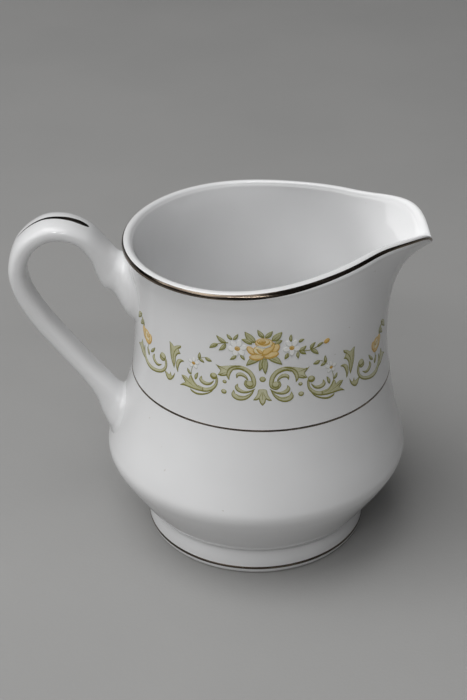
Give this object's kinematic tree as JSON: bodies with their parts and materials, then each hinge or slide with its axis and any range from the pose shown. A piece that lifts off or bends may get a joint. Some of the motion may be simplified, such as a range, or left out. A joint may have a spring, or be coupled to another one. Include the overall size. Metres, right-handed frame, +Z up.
{
  "type": "cream jug",
  "caption": "Small porcelain jug with a pulled pouring lip, a strap handle, a waisted body on a foot ring, platinum lines and floral transfers, for pouring cream or milk.",
  "frame": {"origin": "centre of the object's bounding box in plan, at the level the foot ring stands on", "axes": "+X towards the pouring lip, along the object's length; +Z up, along the axis of the turned body; Y across it, its shortest extent"},
  "size_m": [0.1206, 0.0894, 0.1016],
  "materials": {
    "porcelain_body": "clear gloss glaze on white porcelain",
    "porcelain_foot": "gloss glaze, wiped off where the ring stands",
    "porcelain_handle": "clear gloss glaze on white porcelain",
    "platinum": "fired platinum lustre, lightly worn",
    "enamel_transfer": "fired on-glaze enamel transfer"
  },
  "bodies": {
    "root": {"body": "porcelain_body", "foot_ring": "porcelain_foot", "handle": "porcelain_handle", "rim_band": "platinum", "waist_band": "platinum", "foot_band": "platinum", "handle_stripe": "platinum", "garland_front": "enamel_transfer", "garland_back": "enamel_transfer"}
  },
  "joints": []
}
